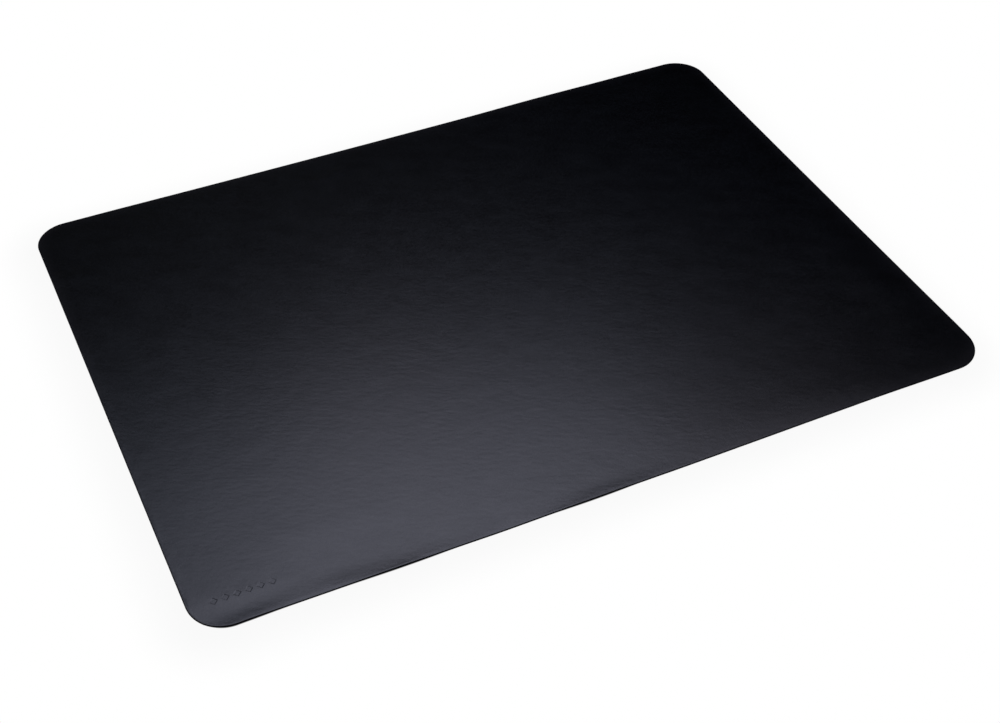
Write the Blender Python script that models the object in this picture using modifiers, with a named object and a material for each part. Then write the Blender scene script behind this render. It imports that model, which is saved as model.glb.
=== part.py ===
"""A leather desk mat: thin sheets bonded into one flexible slab, with a painted cut edge.

From the desk up: a non-slip suede backing, a glue film, a bonded-fibre stiffener, a second glue film and
the leather face. All five are cut to one rounded rectangle, and a coat of edge paint runs round the cut.
A plain ornament is pressed into the leather at the front left corner.

Units are metres. The origin is the middle of the underside, +X runs along the front edge, +Y points away
from the person at the desk, and +Z is up.
"""

import math

import bmesh
import bpy
from mathutils import Matrix

# Driving dimensions.
MAT_WIDTH = 0.600
MAT_DEPTH = 0.440
MAT_THICKNESS = 0.0015
CORNER_RADIUS = 0.026

# The layers. The face takes the thickness that the others leave.
BACKING_THICKNESS = 0.00040
GLUE_THICKNESS = 0.00008
STIFFENER_THICKNESS = 0.00022
BOND_GAP = 0.00005
BONDS = 4
UNDER_FACE = BACKING_THICKNESS + STIFFENER_THICKNESS + 2 * GLUE_THICKNESS + BONDS * BOND_GAP
FACE_THICKNESS = MAT_THICKNESS - UNDER_FACE
FACE_SHOULDER = 0.00020

# The edge paint, which is thickest half way up the cut and ends short of both flat faces.
COAT_THICKNESS = 0.00025
COAT_BOTTOM = 0.00010
COAT_TOP = MAT_THICKNESS - FACE_SHOULDER
COAT_ARC_STEPS = 8

# The outline that all the sheets share.
SHEET_INSET = COAT_THICKNESS + BOND_GAP
SHEET_WIDTH = MAT_WIDTH - 2 * SHEET_INSET
SHEET_DEPTH = MAT_DEPTH - 2 * SHEET_INSET
SHEET_RADIUS = CORNER_RADIUS - SHEET_INSET
CORNER_STEPS = 14

# The pressed ornament: a row of lozenges.
ORNAMENT_X = -MAT_WIDTH / 2 + 0.037
ORNAMENT_Y = -MAT_DEPTH / 2 + 0.023
ORNAMENT_DEPTH = 0.00016
LOZENGES = 6
LOZENGE_PITCH = 0.0078
LOZENGE_RADIUS = 0.0026
PRESS_DRAFT = 0.00008
DIE_HEIGHT = 0.0010

WELD_DISTANCE = 1e-6
SMOOTH_ANGLE = math.radians(40)


def clear_scene():
    for old in list(bpy.data.objects):
        bpy.data.objects.remove(old, do_unlink=True)


def new_collection(name):
    collection = bpy.data.collections.new(name)
    bpy.context.scene.collection.children.link(collection)
    return collection


def new_material(name, colour, roughness, metallic=0.0):
    material = bpy.data.materials.new(name)
    material.use_nodes = True
    shader = material.node_tree.nodes["Principled BSDF"]
    shader.inputs["Base Color"].default_value = (*colour, 1.0)
    shader.inputs["Roughness"].default_value = roughness
    shader.inputs["Metallic"].default_value = metallic
    return material


def add_rounded_rectangle(curve, width, depth, radius):
    """Adds a closed spline with two points for each corner: the ends of its quarter circle."""
    spline = curve.splines.new("BEZIER")
    spline.bezier_points.add(7)
    spline.use_cyclic_u = True
    reach = radius * 4 / 3 * (math.sqrt(2) - 1)
    for corner in range(4):
        turn = corner * math.pi / 2
        into = (math.cos(turn), math.sin(turn))
        out = (-into[1], into[0])
        x_sign, y_sign = into[0] + into[1], into[1] - into[0]
        centre = (x_sign * (width / 2 - radius), y_sign * (depth / 2 - radius))
        start, end = spline.bezier_points[2 * corner], spline.bezier_points[2 * corner + 1]
        start.co = (centre[0] - out[0] * radius, centre[1] - out[1] * radius, 0)
        end.co = (centre[0] + into[0] * radius, centre[1] + into[1] * radius, 0)
        start.handle_left_type, start.handle_right_type = "VECTOR", "FREE"
        end.handle_left_type, end.handle_right_type = "FREE", "VECTOR"
        start.handle_right = (start.co[0] + into[0] * reach, start.co[1] + into[1] * reach, 0)
        end.handle_left = (end.co[0] - out[0] * reach, end.co[1] - out[1] * reach, 0)


def new_curve(name):
    curve = bpy.data.curves.new(name, "CURVE")
    curve.dimensions = "2D"
    curve.resolution_u = CORNER_STEPS
    return curve


def add_sheet(collection, name, bottom, thickness, material):
    """A flat sheet with the shared outline, lying with its underside at the height bottom."""
    curve = new_curve(name)
    curve.fill_mode = "BOTH"
    curve.extrude = thickness / 2
    add_rounded_rectangle(curve, SHEET_WIDTH, SHEET_DEPTH, SHEET_RADIUS)
    curve.materials.append(material)
    sheet = bpy.data.objects.new(name, curve)
    sheet.location.z = bottom + thickness / 2
    collection.objects.link(sheet)
    return sheet


def made_mesh(collection, curve_object):
    """The curve object as a welded mesh object of the same name, in the same place."""
    bpy.context.view_layer.update()
    graph = bpy.context.evaluated_depsgraph_get()
    mesh = bpy.data.meshes.new_from_object(curve_object.evaluated_get(graph))
    name, place = curve_object.name, curve_object.matrix_world.copy()
    bpy.data.objects.remove(curve_object, do_unlink=True)
    shape = bmesh.new()
    shape.from_mesh(mesh)
    bmesh.ops.remove_doubles(shape, verts=shape.verts, dist=WELD_DISTANCE)
    bmesh.ops.recalc_face_normals(shape, faces=shape.faces)
    shape.to_mesh(mesh)
    shape.free()
    piece = bpy.data.objects.new(name, mesh)
    piece.matrix_world = place
    collection.objects.link(piece)
    return piece


def round_top_rim(piece, width, segments):
    """Rounds the outer edge of the piece's top face with a Bevel that only that edge takes."""
    mesh = piece.data
    top = max(vertex.co.z for vertex in mesh.vertices)
    on_top = [vertex.co.z > top - WELD_DISTANCE for vertex in mesh.vertices]
    weight = mesh.attributes.new("bevel_weight_edge", "FLOAT", "EDGE")
    walls = [face for face in mesh.polygons if abs(face.normal.z) < 0.5]
    wall_edges = {key for face in walls for key in face.edge_keys}
    for edge in mesh.edges:
        is_rim = on_top[edge.vertices[0]] and on_top[edge.vertices[1]] and edge.key in wall_edges
        weight.data[edge.index].value = 1.0 if is_rim else 0.0
    bevel = piece.modifiers.new("shoulder", "BEVEL")
    bevel.limit_method = "WEIGHT"
    bevel.width = width
    bevel.segments = segments


def press_ornament(cutters, face):
    """Cuts the row of lozenges into the top of the face, with one die that holds a punch for each.

    A punch is four-sided and widens upwards, with its points along X and Y.
    """
    shape = bmesh.new()
    for number in range(LOZENGES):
        x = (number - (LOZENGES - 1) / 2) * LOZENGE_PITCH
        bmesh.ops.create_cone(
            shape,
            cap_ends=True,
            segments=4,
            radius1=LOZENGE_RADIUS - PRESS_DRAFT,
            radius2=LOZENGE_RADIUS,
            depth=DIE_HEIGHT,
            matrix=Matrix.Translation((x, 0, 0)),
        )
    mesh = bpy.data.meshes.new("ornament_die")
    shape.to_mesh(mesh)
    shape.free()
    die = bpy.data.objects.new("ornament_die", mesh)
    die.location = (ORNAMENT_X, ORNAMENT_Y, MAT_THICKNESS - ORNAMENT_DEPTH + DIE_HEIGHT / 2)
    die.display_type = "WIRE"
    die.hide_render = True
    cutters.objects.link(die)
    cut = face.modifiers.new("ornament", "BOOLEAN")
    cut.operation = "DIFFERENCE"
    cut.solver = "EXACT"
    cut.object = die


def add_coat_profile(cutters):
    """The section of the edge paint: flat against the cut, and half an ellipse outwards, which is -X."""
    curve = new_curve("coat_profile")
    spline = curve.splines.new("POLY")
    spline.points.add(COAT_ARC_STEPS)
    spline.use_cyclic_u = True
    half_height = (COAT_TOP - COAT_BOTTOM) / 2
    for step, point in enumerate(spline.points):
        angle = math.pi * (step / COAT_ARC_STEPS - 0.5)
        point.co = (-COAT_THICKNESS * math.cos(angle), half_height * math.sin(angle), 0, 1)
    profile = bpy.data.objects.new("coat_profile", curve)
    profile.hide_render = True
    profile.display_type = "WIRE"
    cutters.objects.link(profile)
    return profile


def add_edge_coat(collection, cutters, material):
    """The band of edge paint, swept once round the outline of the sheets."""
    curve = new_curve("edge_coat")
    curve.bevel_mode = "OBJECT"
    curve.bevel_object = add_coat_profile(cutters)
    add_rounded_rectangle(
        curve,
        SHEET_WIDTH + 2 * BOND_GAP,
        SHEET_DEPTH + 2 * BOND_GAP,
        SHEET_RADIUS + BOND_GAP,
    )
    curve.materials.append(material)
    coat = bpy.data.objects.new("edge_coat", curve)
    coat.location.z = (COAT_BOTTOM + COAT_TOP) / 2
    collection.objects.link(coat)
    return coat


def build_mat():
    clear_scene()
    parts = new_collection("desk_mat")
    cutters = new_collection("cutters")

    leather = new_material("black_leather", (0.012, 0.012, 0.014), 0.45)
    suede = new_material("black_suede", (0.020, 0.020, 0.022), 0.95)
    glue = new_material("clear_glue", (0.55, 0.50, 0.38), 0.35)
    fibre = new_material("bonded_fibre", (0.42, 0.33, 0.24), 0.85)
    paint = new_material("black_edge_paint", (0.008, 0.008, 0.009), 0.35)

    layers = (
        ("suede_backing", BACKING_THICKNESS, suede),
        ("lower_glue_film", GLUE_THICKNESS, glue),
        ("stiffener_sheet", STIFFENER_THICKNESS, fibre),
        ("upper_glue_film", GLUE_THICKNESS, glue),
        ("leather_face", FACE_THICKNESS, leather),
    )
    bottom = 0.0
    for name, thickness, material in layers:
        sheet = add_sheet(parts, name, bottom, thickness, material)
        bottom += thickness + BOND_GAP

    face = made_mesh(parts, sheet)
    round_top_rim(face, FACE_SHOULDER, segments=3)
    press_ornament(cutters, face)

    coat = made_mesh(parts, add_edge_coat(parts, cutters, paint))
    coat.data.shade_smooth()
    coat.data.set_sharp_from_angle(angle=SMOOTH_ANGLE)


build_mat()
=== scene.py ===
"""The looks of the leather desk mat: its layers as fine curved sheets, materials, light and camera.

All lengths are metres, in the CAD's frame: the origin is the middle of the underside, +X runs along the
front edge, +Y points away from the user and +Z is up.
"""

import math

import bmesh
import bpy
import numpy as np
from mathutils import Matrix, Vector, noise


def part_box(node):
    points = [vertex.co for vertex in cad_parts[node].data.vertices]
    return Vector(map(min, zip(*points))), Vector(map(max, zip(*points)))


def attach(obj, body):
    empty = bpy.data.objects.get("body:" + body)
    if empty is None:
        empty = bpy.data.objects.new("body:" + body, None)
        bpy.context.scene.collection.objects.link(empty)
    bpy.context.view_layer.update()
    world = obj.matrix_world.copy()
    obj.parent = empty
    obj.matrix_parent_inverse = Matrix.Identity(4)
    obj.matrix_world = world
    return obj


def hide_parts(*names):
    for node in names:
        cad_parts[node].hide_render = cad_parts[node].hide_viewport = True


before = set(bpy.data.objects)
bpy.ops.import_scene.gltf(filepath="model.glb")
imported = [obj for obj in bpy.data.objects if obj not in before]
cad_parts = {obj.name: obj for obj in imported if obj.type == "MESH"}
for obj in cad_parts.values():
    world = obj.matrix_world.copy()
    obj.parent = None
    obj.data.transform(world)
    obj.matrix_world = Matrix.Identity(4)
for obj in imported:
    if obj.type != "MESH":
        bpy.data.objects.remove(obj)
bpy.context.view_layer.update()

MM = 0.001
BODY = "root"

# The mat's outline and the heights of its layers, from the frame.
COAT_LOW, COAT_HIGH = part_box("edge_coat")
FACE_LOW, FACE_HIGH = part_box("leather_face")
HALF_WIDTH, HALF_DEPTH = COAT_HIGH.x, COAT_HIGH.y
SHEET_INSET = COAT_HIGH.x - FACE_HIGH.x
CORNER_RADIUS = 26 * MM
# The paint keeps just clear of the sheets' cut edges, and its dome is a little uneven along its run.
COAT_GAP = 0.01 * MM
COAT_STEPS = 10
COAT_UNEVENNESS = 0.12
COAT_UNEVEN_SIZE = 9 * MM

# How far apart the points of the sheets are: in the strip along each edge, and between the strips in the
# leather face and in the layers under it.
EDGE_SPACING = 1.6 * MM
FACE_SPACING = 3.5 * MM
LAYER_SPACING = 6 * MM
# Edges sharper than these stay sharp in the shading.
SHEET_SHARP = math.radians(35)
PRESSED_SHARP = math.radians(60)
COAT_SHARP = math.radians(50)

# The mat doesn't lie quite flat: its ends curl up, the left one more, and it is a little twisted.
END_CURL = 1.5 * MM
END_CURL_LEAN = 0.27 * MM
SIDE_CURL = 0.6 * MM
TWIST = 0.14 * MM
# Each wave of the front and back edges: the middle of its run along X, half its length, its rise at the
# edge, and how far it reaches into the mat.
FRONT_WAVES = (
    (-292 * MM, 35 * MM, -0.5 * MM, 30 * MM),
    (-245 * MM, 110 * MM, 0.8 * MM, 90 * MM),
    (-5 * MM, 90 * MM, 0.06 * MM, 45 * MM),
    (165 * MM, 170 * MM, 0.95 * MM, 90 * MM),
    (272 * MM, 78 * MM, -0.9 * MM, 45 * MM),
)
BACK_WAVES = (
    (-285 * MM, 60 * MM, -0.35 * MM, 40 * MM),
    (145 * MM, 75 * MM, 0.55 * MM, 40 * MM),
    (280 * MM, 55 * MM, -0.40 * MM, 40 * MM),
)
# Where the front edge turns down and the left edge turns up: the middle of the run along the edge, half its
# length, the rise at the edge and its reach.
FRONT_TURN = (130 * MM, 120 * MM, -0.35 * MM, 26 * MM)
LEFT_TURN = (70 * MM, 130 * MM, 0.45 * MM, 24 * MM)
# Each stretch of the front edge that lifts off the desk: its middle along X, half its length, its rise and
# its reach, and how far in the painted shadow of the gap under it begins.
FRONT_LIFTS = (
    (-280 * MM, 50 * MM, 0.32 * MM, 12 * MM, 2.15 * MM),
    (-155 * MM, 70 * MM, 0.66 * MM, 12 * MM, 1.45 * MM),
    (-24 * MM, 74 * MM, 0.48 * MM, 11 * MM, 0.95 * MM),
)
# Each hollow behind the front edge: its middle along X, half its length, its distance from the edge, its
# depth, and how much longer its far side is.
FRONT_HOLLOWS = (
    (-266 * MM, 50 * MM, 12 * MM, 0.56 * MM, 1.0),
    (-194 * MM, 66 * MM, 17 * MM, 0.66 * MM, 2.4),
    (-10 * MM, 72 * MM, 15 * MM, 0.30 * MM, 5.0),
)
# Each swelling: its middle, its spread along and across, its turn in degrees and its height.
SWELLINGS = (
    ((-300 * MM, 149 * MM), (16 * MM, 5 * MM), 10, 0.45 * MM),
    ((271 * MM, -100 * MM), (12 * MM, 42 * MM), 0, 0.55 * MM),
    ((98 * MM, 196 * MM), (24 * MM, 3.5 * MM), 0, 0.06 * MM),
)
# A faint bump in the leather alone.
FACE_SWELLING = ((-54 * MM, 191 * MM), (12 * MM, 4 * MM), 14, 0.35 * MM)
# The top face rolls off gently towards its edge, and then rounds over.
SHOULDER_WIDTH = 0.20 * MM
SHOULDER_DROP = 0.16 * MM
ROLL_WIDTH = 1.6 * MM
ROLL_DROP = 0.05 * MM
PROFILE_STEPS = 5
# The hide's unevenness: fractal noise.
MOTTLE_HEIGHT = 0.055 * MM
MOTTLE_SIZE = 14 * MM
MOTTLE_SMOOTHNESS = 0.8
MOTTLE_LACUNARITY = 2.0
MOTTLE_OCTAVES = 3

# The pressed ornament: a row of lozenges.
ORNAMENT_X = -HALF_WIDTH + 37 * MM
ORNAMENT_Y = -HALF_DEPTH + 23 * MM
LOZENGES = 6
LOZENGE_PITCH = 7.8 * MM
LOZENGE_RADIUS = 2.6 * MM
ORNAMENT_HALF_LENGTH = (LOZENGES - 1) / 2 * LOZENGE_PITCH + LOZENGE_RADIUS
ORNAMENT_MARGIN = 1.2 * MM
ORNAMENT_DEPTH = 0.16 * MM
ORNAMENT_SOFTNESS = 0.4 * MM
ORNAMENT_CUTS = 12
# A normal that rises more than this belongs to the top of the sheet.
FACING_UP = 0.5

# The leather's grain runs along the hide. Its pebbles wander off a regular pattern, and the heights are
# those of its creases, fibres, lumps and waves.
HIDE_TURN = math.radians(-28)
HIDE_STRETCH = 2.2
PEBBLE_SIZE = 1.25 * MM
PEBBLE_WANDER = 0.8 * MM
CREASE_WIDTH = 0.20
CREASE_HEIGHT = 0.008
FIBRE_HEIGHT = 0.004
LUMP_HEIGHT = 0.042
WAVE_HEIGHT = 0.060
# Soft noise stays mostly inside this range.
NOISE_RANGE = (0.25, 0.75)
LEATHER_ROUGHNESS = (0.338, 0.376)
SPECKLE_ROUGHNESS = 0.030
LEATHER_POLISH = (0.45, 0.55)
# A few specks of dust: the size of the cells that can each hold one, the speck's radius as a share of the
# cell, and the share of the cells that stay empty.
DUST_CELL = 34 * MM
DUST_RADIUS = (0.008, 0.013)
DUST_EMPTY = 0.80
# The leather is a little greyer close to its edge, and drier along the right of the front edge.
GREYING_REACH = 12 * MM
DRYNESS = 0.075
DRY_REACH = 30 * MM
DRY_RUN = 170 * MM
DRY_FALL = 1.6
# The attribute that holds where the edge paint is made dull, a painted shade for the gap under the lifted
# front edge.
GAP_SHADE_ATTRIBUTE = "painted_gap_shade"

# The camera looks down at the mat from the front left.
CAMERA_TARGET = Vector((-24.94, -70.66, 0)) * MM
CAMERA_AZIMUTH = math.radians(-25.2)
CAMERA_ELEVATION = math.radians(43.24)
CAMERA_ROLL = math.radians(0.143)
CAMERA_DISTANCE = 1.175
FOCAL_MM = 57.98

# The studio: two soft boxes close above the mat and a wide dim one behind it, on white ground. For each
# box: its name, its place, its sides, its turn, its power in watts and its colour.
SOFT_BOXES = (
    ("top_box", (-0.036, 0.043, 0.50), (0.59, 0.59), -0.78, 1.45, (0.89, 0.98, 1.25)),
    ("low_box", (0.01, -0.03, 0.37), (0.56, 0.52), -1.09, 1.08, (0.99, 0.93, 1.10)),
    ("back_box", (0.48, 2.51, 0.93), (1.51, 0.69), 0.60, 0.355, (0.92, 0.95, 0.92)),
)
FLOOR_HALF_SIZE = 30.0
FLOOR_DROP = 0.05 * MM
# The light that the floor gives the mat at the two ends of a run along X.
FLOOR_GLOW = (0.3, 0.18)
GLOW_RUN = (-100 * MM, 260 * MM)
# The floor's faint shade: how far it is shifted towards the front left, where it begins and ends outside
# the mat's outline, and its brightness at the start.
SHADE_SHIFT = 6 * MM
SHADE_RUN = (-10 * MM, 37 * MM)
SHADE_BRIGHTNESS = 0.945
# The painted shadow on the floor under the mat: how far inside the outline it begins, over what width, and
# its brightness.
UNDER_START = 2.8 * MM
UNDER_SOFTNESS = 0.8 * MM
UNDER_SHADOW_BRIGHTNESS = 0.01


# Shapes of the lifted sheet.

def smooth_step(low, high, value):
    share = np.clip((value - low) / (high - low), 0, 1)
    return share * share * (3 - 2 * share)


def bell(distance):
    """1 at distance 0, falling smoothly to 0 at distance 1."""
    return np.clip(1 - distance**2, 0, None) ** 2


def turned_edge(along, from_edge, middle, half_length, rise, reach):
    """A stretch of an edge that turns up or down, most steeply at the edge itself."""
    return rise * bell((along - middle) / half_length) * np.clip(1 - from_edge / reach, 0, None) ** 2


def swelling(x, y, middle, spread, turn, rise):
    """A long rounded bump."""
    cosine, sine = math.cos(math.radians(turn)), math.sin(math.radians(turn))
    along = (cosine * (x - middle[0]) + sine * (y - middle[1])) / spread[0]
    across = (cosine * (y - middle[1]) - sine * (x - middle[0])) / spread[1]
    return rise * np.exp(-(along**2 + across**2) / 2)


def lift(x, y):
    """How far the mat's underside stands off the desk at each point."""
    across, along = x / HALF_WIDTH, y / HALF_DEPTH
    height = (END_CURL - END_CURL_LEAN * across) * across**2 + SIDE_CURL * along**2 - TWIST * across * along
    from_front, from_back = HALF_DEPTH + y, HALF_DEPTH - y
    for waves, from_edge in ((FRONT_WAVES, from_front), (BACK_WAVES, from_back)):
        for middle, half_length, rise, reach in waves:
            height = height + rise * bell((x - middle) / half_length) * (1 - smooth_step(0, reach, from_edge))
    height = height + turned_edge(x, from_front, *FRONT_TURN) + turned_edge(y, HALF_WIDTH + x, *LEFT_TURN)
    for middle, half_length, rise, reach, _ in FRONT_LIFTS:
        height = height + turned_edge(x, from_front, middle, half_length, rise, reach)
    for middle, half_length, place, depth, far_side in FRONT_HOLLOWS:
        past = from_front / place - 1
        behind_edge = bell(np.where(past > 0, past / far_side, past))
        height = height - depth * bell((x - middle) / half_length) * behind_edge
    for place in SWELLINGS:
        height = height + swelling(x, y, *place)
    return height


def lifted(rings):
    """The points of all the rings, raised onto the mat's shape."""
    points = np.concatenate([np.column_stack(ring) for ring in rings])
    points[:, 2] += lift(points[:, 0], points[:, 1])
    return points


# Sheets: two lattices of points, above and below, closed by rings round the edge.

def spaced(half, strip, spacing):
    """Positions from -half to half, close together in the strips at both ends."""
    outer = np.linspace(0, strip, math.ceil(strip / EDGE_SPACING) + 1)[:-1]
    inner = np.linspace(strip - half, half - strip, math.ceil(2 * (half - strip) / spacing) + 1)
    return np.concatenate([outer - half, inner, half - outer[::-1]])


def round_corners(x, y, half_x, half_y, radius):
    """Draws the corners of a rectangular lattice in to quarter circles, and leaves the rest where it is."""
    across = np.clip((np.abs(x) - half_x + radius) / radius, 0, 1)
    along = np.clip((np.abs(y) - half_y + radius) / radius, 0, 1)
    new_x = np.minimum(np.abs(x), half_x - radius) + radius * across * np.sqrt(1 - along * along / 2)
    new_y = np.minimum(np.abs(y), half_y - radius) + radius * along * np.sqrt(1 - across * across / 2)
    return np.sign(x) * new_x, np.sign(y) * new_y


def outline_normals(x, y, half_x, half_y, radius):
    out_x = np.sign(x) * np.clip(np.abs(x) - half_x + radius, 0, None)
    out_y = np.sign(y) * np.clip(np.abs(y) - half_y + radius, 0, None)
    length = np.hypot(out_x, out_y)
    return out_x / length, out_y / length


def perimeter(columns, rows):
    """The indices of a lattice's outer points, once round, from the front left corner along the front."""
    front = list(range(columns))
    right = [row * columns + columns - 1 for row in range(1, rows)]
    back = [(rows - 1) * columns + column for column in range(columns - 2, -1, -1)]
    left = [row * columns for row in range(rows - 2, 0, -1)]
    return np.array(front + right + back + left)


def lattice(inset, spacing):
    """A lattice that ends inset inside the mat's outline.

    Gives its points, the indices of its rim, the rim's outward normals, and its columns and rows.
    """
    half_x, half_y, radius = HALF_WIDTH - inset, HALF_DEPTH - inset, CORNER_RADIUS - inset
    xs, ys = spaced(half_x, radius, spacing), spaced(half_y, radius, spacing)
    flat_x, flat_y = (part.ravel() for part in np.meshgrid(xs, ys))
    x, y = round_corners(flat_x, flat_y, half_x, half_y, radius)
    rim = perimeter(len(xs), len(ys))
    normals = outline_normals(x[rim], y[rim], half_x, half_y, radius)
    return (x, y), rim, normals, (len(xs), len(ys))


def wall(below, above):
    """Faces between two closed rings of points."""
    return np.column_stack([below, np.roll(below, -1), np.roll(above, -1), above])


def new_piece(name, points, faces, sharp_angle):
    """A smooth object with those faces, in the scene."""
    mesh = bpy.data.meshes.new(name)
    mesh.from_pydata(points, [], faces.tolist())
    mesh.validate()
    mesh.shade_smooth()
    mesh.set_sharp_from_angle(angle=sharp_angle)
    piece = bpy.data.objects.new(name, mesh)
    bpy.context.scene.collection.objects.link(piece)
    return piece


def sheet(name, inset, low, high, profile, spacing, upper_relief=None):
    """A curved sheet between the heights low and high, its flat part ending inset inside the mat's outline.

    The profile lists (outwards, height) from the lower lattice's edge to the upper one's, and upper_relief is
    added to the heights of the upper side.
    """
    (x, y), rim, (normal_x, normal_y), (columns, rows) = lattice(inset, spacing)
    upper = np.full(len(x), high) + (upper_relief(x, y) if upper_relief else 0)
    rings = [(x, y, np.full(len(x), low)), (x, y, upper)]
    for outwards, height in profile:
        rings.append((x[rim] + normal_x * outwards, y[rim] + normal_y * outwards, np.full(len(rim), height)))

    count, rim_count = len(x), len(rim)
    corner = (np.arange(rows - 1)[:, None] * columns + np.arange(columns - 1)).ravel()
    squares = np.column_stack([corner, corner + 1, corner + 1 + columns, corner + columns])
    levels = [rim]
    levels += [np.arange(rim_count) + 2 * count + step * rim_count for step in range(len(profile))]
    levels += [rim + count]
    walls = [wall(below, above) for below, above in zip(levels[:-1], levels[1:])]
    faces = np.concatenate([squares[:, ::-1], squares + count] + walls)
    return new_piece(name, lifted(rings), faces, SHEET_SHARP)


def face_profile():
    """The leather's edge from the bottom of its wall, over the shoulder, to where its roll-off begins."""
    roll_length, rolled_height = ROLL_WIDTH - SHOULDER_WIDTH, FACE_HIGH.z - ROLL_DROP
    points = [(ROLL_WIDTH, FACE_LOW.z)]
    for step in range(PROFILE_STEPS):
        turn = math.pi / 2 * step / PROFILE_STEPS
        outwards = ROLL_WIDTH - SHOULDER_WIDTH * (1 - math.cos(turn))
        points.append((outwards, rolled_height - SHOULDER_DROP * (1 - math.sin(turn))))
    for step in range(PROFILE_STEPS):
        outwards = roll_length * (1 - step / PROFILE_STEPS)
        points.append((outwards, FACE_HIGH.z - ROLL_DROP * (outwards / roll_length) ** 2))
    return points


# The leather face.

def ornament_distance(x, y):
    """The distance to the nearest lozenge of the row, negative inside it, from the middle of the row."""
    first = -(LOZENGES - 1) / 2
    nearest = np.clip(np.round(x / LOZENGE_PITCH - first), 0, LOZENGES - 1) + first
    return (np.abs(x - nearest * LOZENGE_PITCH) + np.abs(y) - LOZENGE_RADIUS) / math.sqrt(2)


def near_ornament(polygon):
    """Whether a face belongs to the top, under the ornament or close round it."""
    middle = polygon.calc_center_median()
    in_x = abs(middle.x - ORNAMENT_X) < ORNAMENT_HALF_LENGTH + ORNAMENT_MARGIN + FACE_SPACING / 2
    in_y = abs(middle.y - ORNAMENT_Y) < LOZENGE_RADIUS + ORNAMENT_MARGIN + EDGE_SPACING / 2
    return in_x and in_y and polygon.normal.z > FACING_UP


def press_ornament(face):
    """Makes the lattice fine round the ornament, and presses its marks into the top."""
    shape = bmesh.new()
    shape.from_mesh(face.data)
    near = [polygon for polygon in shape.faces if near_ornament(polygon)]
    edges = list(dict.fromkeys(edge for polygon in near for edge in polygon.edges))
    bmesh.ops.subdivide_edges(shape, edges=edges, cuts=ORNAMENT_CUTS, use_grid_fill=True)
    above = [vertex for vertex in shape.verts if vertex.normal.z > FACING_UP]
    x = np.array([vertex.co.x for vertex in above]) - ORNAMENT_X
    y = np.array([vertex.co.y for vertex in above]) - ORNAMENT_Y
    outside = smooth_step(-ORNAMENT_SOFTNESS / 2, ORNAMENT_SOFTNESS / 2, ornament_distance(x, y))
    for vertex, depth in zip(above, ORNAMENT_DEPTH * (1 - outside)):
        vertex.co.z -= depth
    shape.to_mesh(face.data)
    shape.free()
    face.data.shade_smooth()
    face.data.set_sharp_from_angle(angle=PRESSED_SHARP)


def hide_relief(x, y):
    """The slight unevenness of a hide, with one bump."""
    places = zip(x / MOTTLE_SIZE, y / MOTTLE_SIZE)
    settings = (MOTTLE_SMOOTHNESS, MOTTLE_LACUNARITY, MOTTLE_OCTAVES)
    mottle = MOTTLE_HEIGHT * np.array([noise.fractal((px, py, 0), *settings) for px, py in places])
    return mottle + swelling(x, y, *FACE_SWELLING)


def make_leather_face():
    inset = SHEET_INSET + ROLL_WIDTH
    face = sheet("leather_top", inset, FACE_LOW.z, FACE_HIGH.z, face_profile(), FACE_SPACING, hide_relief)
    press_ornament(face)
    return face


# The layers under the face, and the paint round them.

def make_layer(name, node):
    """A layer with a plain cut edge. All these layers have the same lattice, so they stay parted."""
    low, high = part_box(node)
    return sheet(name, SHEET_INSET, low.z, high.z, [], LAYER_SPACING)


def make_edge_coat():
    """The bead of edge paint: a closed ring, flat inside and domed outside, a little uneven along its run."""
    thickness = SHEET_INSET - COAT_GAP
    (x, y), rim, (normal_x, normal_y), _ = lattice(thickness, FACE_SPACING)
    x, y = x[rim], y[rim]
    middle, half_height = (COAT_LOW.z + COAT_HIGH.z) / 2, (COAT_HIGH.z - COAT_LOW.z) / 2
    rings = []
    for step in range(COAT_STEPS + 1):
        angle = math.pi * (step / COAT_STEPS - 0.5)
        height = middle + half_height * math.sin(angle)
        uneven = np.array([noise.noise(Vector((px, py, height)) / COAT_UNEVEN_SIZE) for px, py in zip(x, y)])
        outwards = thickness * math.cos(angle) * (1 + COAT_UNEVENNESS * uneven)
        rings.append((x + normal_x * outwards, y + normal_y * outwards, np.full(len(x), height)))

    levels = [np.arange(len(x)) + ring * len(x) for ring in range(len(rings))]
    walls = [wall(below, above) for below, above in zip(levels, levels[1:] + levels[:1])]
    points = lifted(rings)
    coat = new_piece("edge_paint", points, np.concatenate(walls), COAT_SHARP)
    # The edge paint is made dull where the front edge lifts: painted shade standing in for the shadow in the
    # gap beneath.
    gap_shade = sum(bell((points[:, 0] - run[0]) / run[1]) for run in FRONT_LIFTS) * (points[:, 1] < 0)
    values = coat.data.attributes.new(GAP_SHADE_ATTRIBUTE, "FLOAT", "POINT").data
    values.foreach_set("value", gap_shade.astype(np.float32))
    return coat


# Materials.

def add(tree, kind, inputs=None, **settings):
    """A node of that kind, with its inputs set to values or linked to sockets."""
    made = tree.nodes.new(kind)
    for key, value in settings.items():
        setattr(made, key, value)
    for key, value in (inputs or {}).items():
        put(tree, made.inputs[key], value)
    return made


def put(tree, socket, value):
    """Links another socket to this one, or sets its value."""
    if isinstance(value, bpy.types.NodeSocket):
        tree.links.new(value, socket)
    else:
        socket.default_value = value


def maths(tree, operation, first, second=0.0):
    return add(tree, "ShaderNodeMath", {0: first, 1: second}, operation=operation).outputs[0]


def vector_maths(tree, operation, *values, output="Vector"):
    inputs = dict(enumerate(values))
    return add(tree, "ShaderNodeVectorMath", inputs, operation=operation).outputs[output]


def weighted(tree, *parts):
    """The sum of some values, each times its weight."""
    shares = [maths(tree, "MULTIPLY", value, weight) for value, weight in parts]
    total = shares[0]
    for share in shares[1:]:
        total = maths(tree, "ADD", total, share)
    return total


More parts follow.
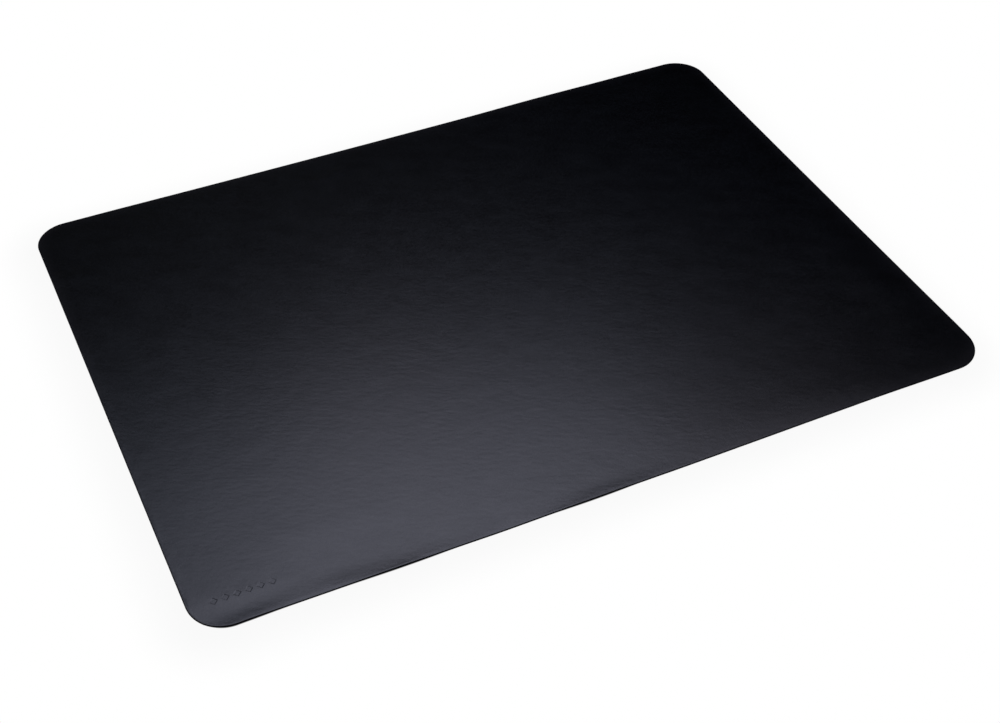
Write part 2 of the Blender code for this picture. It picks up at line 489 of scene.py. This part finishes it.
def ranged(tree, value, low, high, new_low, new_high, smooth=False):
    """The value mapped from one range to another, and kept inside it."""
    kind = "SMOOTHSTEP" if smooth else "LINEAR"
    inputs = {"Value": value, "From Min": low, "From Max": high, "To Min": new_low, "To Max": new_high}
    return add(tree, "ShaderNodeMapRange", inputs, interpolation_type=kind).outputs["Result"]


def mixed(tree, share, first, second):
    """The first colour where the share is 0, and the second where it is 1."""
    made = add(tree, "ShaderNodeMix", data_type="RGBA")
    for key, value in (("Factor", share), ("A", first), ("B", second)):
        put(tree, next(socket for socket in made.inputs if socket.name == key and socket.enabled), value)
    return next(socket for socket in made.outputs if socket.enabled)


def cloud(tree, place, size, detail=2.0, roughness=0.5):
    """Soft noise from 0 to 1 whose blotches are about size across."""
    inputs = {"Vector": place, "Scale": 1 / size, "Detail": detail, "Roughness": roughness}
    return add(tree, "ShaderNodeTexNoise", inputs).outputs["Fac"]


def new_material(name):
    """A new material, its tree, its Principled shader and the object's own coordinates."""
    material = bpy.data.materials.new(name)
    material.use_nodes = True
    tree = material.node_tree
    shader = tree.nodes["Principled BSDF"]
    place = add(tree, "ShaderNodeTexCoord").outputs["Object"]
    return material, tree, shader, place


def bump(tree, shader, height, distance):
    made = add(tree, "ShaderNodeBump", {"Height": height, "Distance": distance, "Strength": 1.0})
    tree.links.new(made.outputs["Normal"], shader.inputs["Normal"])


def distance_outside(tree, place):
    """The distance of a place from the mat's outline, negative inside it."""
    core = (HALF_WIDTH - CORNER_RADIUS, HALF_DEPTH - CORNER_RADIUS, 0)
    past = vector_maths(tree, "SUBTRACT", vector_maths(tree, "ABSOLUTE", place), core)
    clipped = vector_maths(tree, "MAXIMUM", past, (0, 0, 0))
    flat = vector_maths(tree, "MULTIPLY", clipped, (1, 1, 0))
    return maths(tree, "SUBTRACT", vector_maths(tree, "LENGTH", flat, output="Value"), CORNER_RADIUS)


def leather_pebbles(tree, place):
    """The pebbles of the grain: 0 in the creases between them, 1 on top."""
    wander = cloud(tree, place, 1.6 * MM, detail=1.0)
    grain_place = vector_maths(tree, "MULTIPLY_ADD", wander, (PEBBLE_WANDER,) * 3, place)
    inputs = {"Vector": grain_place, "Scale": 1 / PEBBLE_SIZE}
    cells = add(tree, "ShaderNodeTexVoronoi", inputs, feature="DISTANCE_TO_EDGE")
    return ranged(tree, cells.outputs["Distance"], 0.0, CREASE_WIDTH, 0.0, 1.0, smooth=True)


def leather_colour(tree, place, patches, speckle):
    """Near black, with specks of dust, and greyer towards the edge."""
    dark, light = (0.0, 0.0, 0.0004, 1), (0.0012, 0.0018, 0.0028, 1)
    dust, edge_grey = (0.10, 0.10, 0.11, 1), (0.006, 0.006, 0.007, 1)
    tone = weighted(tree, (patches, 0.3), (speckle, 0.7))
    colour = mixed(tree, ranged(tree, tone, 0.36, 0.64, 0.0, 1.0), dark, light)
    cells = add(tree, "ShaderNodeTexVoronoi", {"Vector": place, "Scale": 1 / DUST_CELL}).outputs
    is_speck = ranged(tree, cells["Distance"], *DUST_RADIUS, 1.0, 0.0)
    draw = add(tree, "ShaderNodeSeparateColor", {0: cells["Color"]}).outputs[0]
    chosen = maths(tree, "GREATER_THAN", draw, DUST_EMPTY)
    colour = mixed(tree, maths(tree, "MULTIPLY", is_speck, chosen), colour, dust)
    # The base colour turns a little greyer over the last few millimetres to the edge.
    to_edge = ranged(tree, distance_outside(tree, place), -GREYING_REACH, 0.0, 0.0, 1.0)
    return mixed(tree, maths(tree, "MULTIPLY", to_edge, to_edge), colour, edge_grey)


def leather_roughness(tree, place, patches, speckle):
    """Cloudy, and drier along the right of the front edge."""
    cloudy = ranged(tree, patches, *NOISE_RANGE, *LEATHER_ROUGHNESS)
    uneven = ranged(tree, speckle, *NOISE_RANGE, -SPECKLE_ROUGHNESS, SPECKLE_ROUGHNESS)
    axes = add(tree, "ShaderNodeSeparateXYZ", {0: place}).outputs
    to_front = ranged(tree, axes["Y"], DRY_REACH - HALF_DEPTH, -HALF_DEPTH, 0.0, 1.0)
    to_right = ranged(tree, axes["X"], 0.0, DRY_RUN, 0.0, DRYNESS, smooth=True)
    dryness = maths(tree, "MULTIPLY", maths(tree, "POWER", to_front, DRY_FALL), to_right)
    return maths(tree, "ADD", maths(tree, "ADD", cloudy, uneven), dryness)


def leather_material():
    """Black leather: fine pebbled grain, cloudy sheen and a few specks of dust."""
    material, tree, shader, place = new_material("black_leather")
    settings = {"Vector": place, "Rotation": (0, 0, HIDE_TURN), "Scale": (HIDE_STRETCH, 1, 1)}
    hide_place = add(tree, "ShaderNodeMapping", settings, vector_type="TEXTURE").outputs[0]
    pebbles = leather_pebbles(tree, place)
    fibre = cloud(tree, place, 0.25 * MM, detail=1.0)
    lumps = cloud(tree, place, 1.6 * MM, detail=1.0)
    waves = cloud(tree, hide_place, 3.0 * MM, detail=0.0)
    heights = ((pebbles, CREASE_HEIGHT), (fibre, FIBRE_HEIGHT), (lumps, LUMP_HEIGHT), (waves, WAVE_HEIGHT))
    bump(tree, shader, weighted(tree, *heights), MM)

    patches = cloud(tree, hide_place, 12 * MM, detail=3.0, roughness=0.55)
    speckle = cloud(tree, hide_place, 1.0 * MM, detail=2.0, roughness=0.6)
    tree.links.new(leather_colour(tree, place, patches, speckle), shader.inputs["Base Color"])
    tree.links.new(leather_roughness(tree, place, patches, speckle), shader.inputs["Roughness"])
    polish = weighted(tree, (pebbles, 0.3), (speckle, 0.7))
    tree.links.new(ranged(tree, polish, 0.40, 0.80, *LEATHER_POLISH), shader.inputs["Specular IOR Level"])
    return material


def edge_paint_material():
    """Black flexible edge paint with faint brush marks: satin, but made dull where the front edge lifts, as
    painted shade.
    """
    material, tree, shader, place = new_material("black_edge_paint")
    squeezed = add(tree, "ShaderNodeMapping", {"Vector": place, "Scale": (1.0, 1.0, 8.0)}).outputs[0]
    brushed = cloud(tree, squeezed, 1.6 * MM, detail=3.0)
    colour = mixed(tree, brushed, (0.004, 0.004, 0.005, 1), (0.009, 0.009, 0.010, 1))
    tree.links.new(colour, shader.inputs["Base Color"])
    tree.links.new(ranged(tree, brushed, 0.3, 0.7, 0.45, 0.60), shader.inputs["Roughness"])
    # Where the front edge lifts the paint reflects almost nothing: painted shade for the gap beneath.
    gap_shade = add(tree, "ShaderNodeAttribute", attribute_name=GAP_SHADE_ATTRIBUTE).outputs["Fac"]
    tree.links.new(ranged(tree, gap_shade, 0.0, 0.5, 0.45, 0.02), shader.inputs["Specular IOR Level"])
    bump(tree, shader, brushed, 0.03 * MM)
    return material


def suede_material():
    """Black microfibre suede: short fibres with a soft nap brushed in patches."""
    material, tree, shader, place = new_material("black_suede")
    fibre = cloud(tree, place, 0.18 * MM, detail=4.0, roughness=0.7)
    nap = cloud(tree, place, 30 * MM, detail=3.0)
    dark, light = (0.010, 0.010, 0.011, 1), (0.030, 0.030, 0.033, 1)
    tone = ranged(tree, weighted(tree, (fibre, 0.6), (nap, 0.4)), 0.35, 0.65, 0.0, 1.0)
    tree.links.new(mixed(tree, tone, dark, light), shader.inputs["Base Color"])
    shader.inputs["Roughness"].default_value = 0.95
    shader.inputs["Sheen Weight"].default_value = 0.35
    shader.inputs["Sheen Roughness"].default_value = 0.5
    bump(tree, shader, fibre, 0.06 * MM)
    return material


def glue_material():
    """A pale film of contact adhesive, with the drift of the roller that spread it."""
    material, tree, shader, place = new_material("pale_glue")
    rolled = add(tree, "ShaderNodeMapping", {"Vector": place, "Scale": (0.15, 1.0, 1.0)}).outputs[0]
    streaks = cloud(tree, rolled, 2.5 * MM, detail=3.0)
    colour = mixed(tree, streaks, (0.46, 0.41, 0.30, 1), (0.62, 0.57, 0.45, 1))
    tree.links.new(colour, shader.inputs["Base Color"])
    tree.links.new(ranged(tree, streaks, 0.3, 0.7, 0.30, 0.45), shader.inputs["Roughness"])
    bump(tree, shader, streaks, 0.02 * MM)
    return material


def fibre_material():
    """Bonded leather fibre: pale brown board flecked with light and dark fibres."""
    material, tree, shader, place = new_material("bonded_fibre")
    pulp = cloud(tree, place, 6 * MM, detail=5.0, roughness=0.65)
    fleck = cloud(tree, place, 0.9 * MM, detail=2.0)
    colour = mixed(tree, pulp, (0.30, 0.22, 0.15, 1), (0.50, 0.40, 0.29, 1))
    colour = mixed(tree, ranged(tree, fleck, 0.62, 0.72, 0.0, 0.7), colour, (0.66, 0.58, 0.47, 1))
    colour = mixed(tree, ranged(tree, fleck, 0.30, 0.38, 0.6, 0.0), colour, (0.16, 0.11, 0.07, 1))
    tree.links.new(colour, shader.inputs["Base Color"])
    shader.inputs["Roughness"].default_value = 0.88
    bump(tree, shader, maths(tree, "ADD", pulp, fleck), 0.04 * MM)
    return material


# The studio.

def gap_shift(tree, across):
    """How much nearer the outline the painted shadow under the mat begins, where the front edge lifts."""
    nearer = 0.0
    for middle, half_length, _, _, gap in FRONT_LIFTS:
        from_middle = maths(tree, "DIVIDE", maths(tree, "SUBTRACT", across, middle), half_length)
        fall = maths(tree, "SUBTRACT", 1.0, maths(tree, "POWER", from_middle, 2.0))
        inside = maths(tree, "MAXIMUM", fall, 0.0)
        share = maths(tree, "MULTIPLY", maths(tree, "POWER", inside, 2.0), UNDER_START - gap)
        nearer = maths(tree, "ADD", nearer, share)
    return nearer


def floor_material():
    """White, with a faint wide painted shade round the mat, and a dark painted shadow underneath it.

    It is white to the camera, and lights the mat only a little.
    """
    material = bpy.data.materials.new("white_sweep")
    material.use_nodes = True
    tree = material.node_tree
    tree.nodes.clear()
    place = add(tree, "ShaderNodeTexCoord").outputs["Object"]
    across = add(tree, "ShaderNodeSeparateXYZ", {0: place}).outputs["X"]

    shifted = vector_maths(tree, "ADD", place, (SHADE_SHIFT, SHADE_SHIFT, 0))
    outside = distance_outside(tree, shifted)
    shade = ranged(tree, outside, *SHADE_RUN, SHADE_BRIGHTNESS, 1.0, smooth=True)
    # The floor is painted dark under the mat and in the gap under its lifted front edge: a painted shadow.
    under_place = maths(tree, "SUBTRACT", distance_outside(tree, place), gap_shift(tree, across))
    under_end = UNDER_SOFTNESS - UNDER_START
    under_shadow = ranged(tree, under_place, -UNDER_START, under_end, UNDER_SHADOW_BRIGHTNESS, 1.0, smooth=True)
    seen = add(tree, "ShaderNodeLightPath").outputs["Is Camera Ray"]
    glow = ranged(tree, across, *GLOW_RUN, *FLOOR_GLOW, smooth=True)
    glow = maths(tree, "MAXIMUM", glow, seen)
    strength = maths(tree, "MULTIPLY", maths(tree, "MULTIPLY", shade, under_shadow), glow)
    light = add(tree, "ShaderNodeEmission", {"Color": (1, 1, 1, 1), "Strength": strength})
    out = add(tree, "ShaderNodeOutputMaterial")
    tree.links.new(light.outputs[0], out.inputs["Surface"])
    return material


def make_floor():
    shape = bmesh.new()
    bmesh.ops.create_grid(shape, x_segments=2, y_segments=2, size=FLOOR_HALF_SIZE)
    mesh = bpy.data.meshes.new("floor")
    shape.to_mesh(mesh)
    shape.free()
    floor = bpy.data.objects.new("floor", mesh)
    floor.location.z = -FLOOR_DROP
    mesh.materials.append(floor_material())
    bpy.context.scene.collection.objects.link(floor)


def make_world():
    """White to the camera, and dark to everything else, so that only the soft boxes show in the sheen."""
    world = bpy.data.worlds.new("studio")
    world.use_nodes = True
    bpy.context.scene.world = world
    tree = world.node_tree
    seen = add(tree, "ShaderNodeLightPath").outputs["Is Camera Ray"]
    colour = mixed(tree, seen, (0.0005, 0.0005, 0.0005, 1), (1, 1, 1, 1))
    tree.links.new(colour, tree.nodes["Background"].inputs["Color"])


def make_soft_box(name, place, size, turn, power, colour):
    """An area light that faces the middle of the mat and is out of the camera's sight."""
    light = bpy.data.lights.new(name, "AREA")
    light.shape = "RECTANGLE"
    light.size, light.size_y = size
    light.energy = power
    light.color = colour
    box = bpy.data.objects.new(name, light)
    aim = (-Vector(place)).to_track_quat("-Z", "Y").to_matrix().to_4x4()
    box.matrix_world = Matrix.Translation(place) @ aim @ Matrix.Rotation(turn, 4, "Z")
    box.visible_camera = False
    bpy.context.scene.collection.objects.link(box)


def make_camera():
    data = bpy.data.cameras.new("camera")
    data.lens = FOCAL_MM
    camera = bpy.data.objects.new("camera", data)
    back = Vector((
        math.sin(CAMERA_AZIMUTH) * math.cos(CAMERA_ELEVATION),
        -math.cos(CAMERA_AZIMUTH) * math.cos(CAMERA_ELEVATION),
        math.sin(CAMERA_ELEVATION),
    ))
    place = Matrix.Translation(CAMERA_TARGET + back * CAMERA_DISTANCE)
    aim = back.to_track_quat("Z", "Y").to_matrix().to_4x4()
    camera.matrix_world = place @ aim @ Matrix.Rotation(CAMERA_ROLL, 4, "Z")
    bpy.context.scene.collection.objects.link(camera)
    bpy.context.scene.camera = camera


def finish_piece(piece, node, material):
    piece.data.materials.append(material)
    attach(piece, BODY)
    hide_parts(node)


def build():
    glue = glue_material()
    finish_piece(make_leather_face(), "leather_face", leather_material())
    for name, node, material, slot in (
        ("glue_upper", "upper_glue_film", glue, "glue"),
        ("stiffener", "stiffener_sheet", fibre_material(), "bonded_fibre"),
        ("glue_lower", "lower_glue_film", glue, "glue"),
        ("suede_back", "suede_backing", suede_material(), "suede"),
    ):
        finish_piece(make_layer(name, node), node, material)
    finish_piece(make_edge_coat(), "edge_coat", edge_paint_material())
    make_floor()
    make_world()
    for box in SOFT_BOXES:
        make_soft_box(*box)
    make_camera()
    bpy.context.scene.view_settings.view_transform = "Standard"


build()
